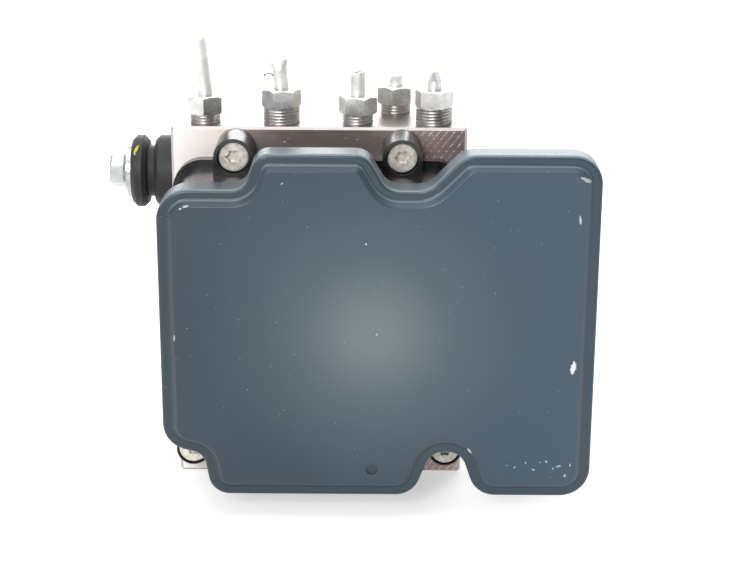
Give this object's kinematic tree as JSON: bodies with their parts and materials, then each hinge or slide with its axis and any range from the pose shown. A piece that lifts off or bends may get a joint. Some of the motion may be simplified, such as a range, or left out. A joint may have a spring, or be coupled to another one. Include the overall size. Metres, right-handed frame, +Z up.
{
  "type": "abs brake module",
  "caption": "Anti-lock brake unit: aluminium valve block with tube nuts and cut brake pipes on top, pump motor behind, controller in front, rubber mount at one side.",
  "frame": {"origin": "centre of the valve block's bottom face, at the mouth of its threaded hole", "axes": "+X to the right seen from the controller's lid, the lid faces -Y and the motor +Y, +Z up out of the tube ports"},
  "size_m": [0.1578, 0.1426, 0.1482],
  "materials": {
    "bearing_steel": "ground",
    "block_aluminium": "milled and pale anodised",
    "board_laminate": "solder resist",
    "bolt_zinc": "bright zinc",
    "brush_carbon": "sintered carbon",
    "can_steel": "zinc plated, deep drawn",
    "cap_aluminium": "pressed",
    "coil_plastic": "moulded over the winding",
    "contact_brass": "plain",
    "core_steel": "stacked sheet",
    "housing_plastic": "black glass-filled moulding",
    "lid_plastic": "satin blue-grey moulding",
    "magnet_ferrite": "ground ferrite",
    "mount_rubber": "matt",
    "nut_zinc": "bright zinc",
    "pin_tin": "tin plated",
    "pipe_steel": "zinc coated",
    "plate_plastic": "moulded",
    "plug_steel": "turned",
    "screw_steel": "zinc flake",
    "seal_rubber": "matt",
    "spring_steel": "drawn wire",
    "valve_steel": "turned",
    "winding_copper": "varnished copper wire"
  },
  "bodies": {
    "unit": {"accumulator_caps": "cap_aluminium", "accumulator_spring_1": "spring_steel", "accumulator_spring_2": "spring_steel", "brake_pipe_1": "pipe_steel", "brake_pipe_2": "pipe_steel", "brake_pipe_3": "pipe_steel", "brake_pipe_4": "pipe_steel", "brake_pipe_5": "pipe_steel", "brush_plate": "plate_plastic", "circuit_board": "board_laminate", "connector_pins": "pin_tin", "ecu_gasket": "seal_rubber", "ecu_housing": "housing_plastic", "ecu_lid": "lid_plastic", "ecu_screws": "screw_steel", "grommet": "mount_rubber", "large_tube_nuts": "nut_zinc", "motor_bearings": "bearing_steel", "motor_brushes": "brush_carbon", "motor_can": "can_steel", "motor_contacts": "contact_brass", "motor_magnets": "magnet_ferrite", "motor_screws": "screw_steel", "mounting_bolt": "bolt_zinc", "pump_plugs": "plug_steel", "pump_spring_1": "spring_steel", "pump_spring_2": "spring_steel", "small_tube_nuts": "nut_zinc", "solenoid_coils": "coil_plastic", "spacer_sleeve": "bolt_zinc", "valve_block": "block_aluminium", "valve_cartridge_1": "valve_steel", "valve_cartridge_2": "valve_steel", "valve_cartridge_3": "valve_steel", "valve_cartridge_4": "valve_steel", "valve_cartridge_5": "valve_steel", "valve_cartridge_6": "valve_steel", "valve_cartridge_7": "valve_steel", "valve_cartridge_8": "valve_steel", "washer": "bolt_zinc"},
    "rotor": {"rotor_core": "core_steel", "rotor_windings": "winding_copper", "commutator": "contact_brass", "motor_shaft": "bearing_steel", "eccentric_ring": "bearing_steel"},
    "pump_piston_1_body": {"pump_piston_1": "bearing_steel"},
    "accumulator_piston_1_body": {"accumulator_piston_1": "cap_aluminium"},
    "pump_piston_2_body": {"pump_piston_2": "bearing_steel"},
    "accumulator_piston_2_body": {"accumulator_piston_2": "cap_aluminium"},
    "armature_1": {"valve_armature_1": "valve_steel"},
    "armature_2": {"valve_armature_2": "valve_steel"},
    "armature_3": {"valve_armature_3": "valve_steel"},
    "armature_4": {"valve_armature_4": "valve_steel"},
    "armature_5": {"valve_armature_5": "valve_steel"},
    "armature_6": {"valve_armature_6": "valve_steel"},
    "armature_7": {"valve_armature_7": "valve_steel"},
    "armature_8": {"valve_armature_8": "valve_steel"}
  },
  "joints": [
    {"name": "rotor_spin", "type": "hinge", "parent": "unit", "child": "rotor", "pos_m": [0, 0.0225, 0.047], "axis": [0, 1, 0], "continuous": true},
    {"name": "pump_stroke_1", "type": "slide", "parent": "unit", "child": "pump_piston_1_body", "axis": [1, 0, 0], "range_m": [0, 0.0012], "stiffness_N_per_m": 1500, "deforming": ["pump_spring_1"]},
    {"name": "pump_stroke_2", "type": "slide", "parent": "unit", "child": "pump_piston_2_body", "axis": [-1, 0, 0], "range_m": [0, 0.0012], "stiffness_N_per_m": 1500, "deforming": ["pump_spring_2"]},
    {"name": "accumulator_stroke_1", "type": "slide", "parent": "unit", "child": "accumulator_piston_1_body", "axis": [0, 0, -1], "range_m": [0, 0.008], "stiffness_N_per_m": 3000, "springref_m": -0.002, "deforming": ["accumulator_spring_1"]},
    {"name": "accumulator_stroke_2", "type": "slide", "parent": "unit", "child": "accumulator_piston_2_body", "axis": [0, 0, -1], "range_m": [0, 0.008], "stiffness_N_per_m": 3000, "springref_m": -0.002, "deforming": ["accumulator_spring_2"]},
    {"name": "valve_stroke_1", "type": "slide", "parent": "unit", "child": "armature_1", "axis": [0, 1, 0], "range_m": [0, 0.0003], "stiffness_N_per_m": 1000, "springref_m": -0.0005},
    {"name": "valve_stroke_2", "type": "slide", "parent": "unit", "child": "armature_2", "axis": [0, 1, 0], "range_m": [0, 0.0003], "stiffness_N_per_m": 1000, "springref_m": -0.0005},
    {"name": "valve_stroke_3", "type": "slide", "parent": "unit", "child": "armature_3", "axis": [0, 1, 0], "range_m": [0, 0.0003], "stiffness_N_per_m": 1000, "springref_m": -0.0005},
    {"name": "valve_stroke_4", "type": "slide", "parent": "unit", "child": "armature_4", "axis": [0, 1, 0], "range_m": [0, 0.0003], "stiffness_N_per_m": 1000, "springref_m": -0.0005},
    {"name": "valve_stroke_5", "type": "slide", "parent": "unit", "child": "armature_5", "axis": [0, -1, 0], "range_m": [0, 0.0003], "stiffness_N_per_m": 1000, "springref_m": -0.0005},
    {"name": "valve_stroke_6", "type": "slide", "parent": "unit", "child": "armature_6", "axis": [0, -1, 0], "range_m": [0, 0.0003], "stiffness_N_per_m": 1000, "springref_m": -0.0005},
    {"name": "valve_stroke_7", "type": "slide", "parent": "unit", "child": "armature_7", "axis": [0, -1, 0], "range_m": [0, 0.0003], "stiffness_N_per_m": 1000, "springref_m": -0.0005},
    {"name": "valve_stroke_8", "type": "slide", "parent": "unit", "child": "armature_8", "axis": [0, -1, 0], "range_m": [0, 0.0003], "stiffness_N_per_m": 1000, "springref_m": -0.0005}
  ]
}
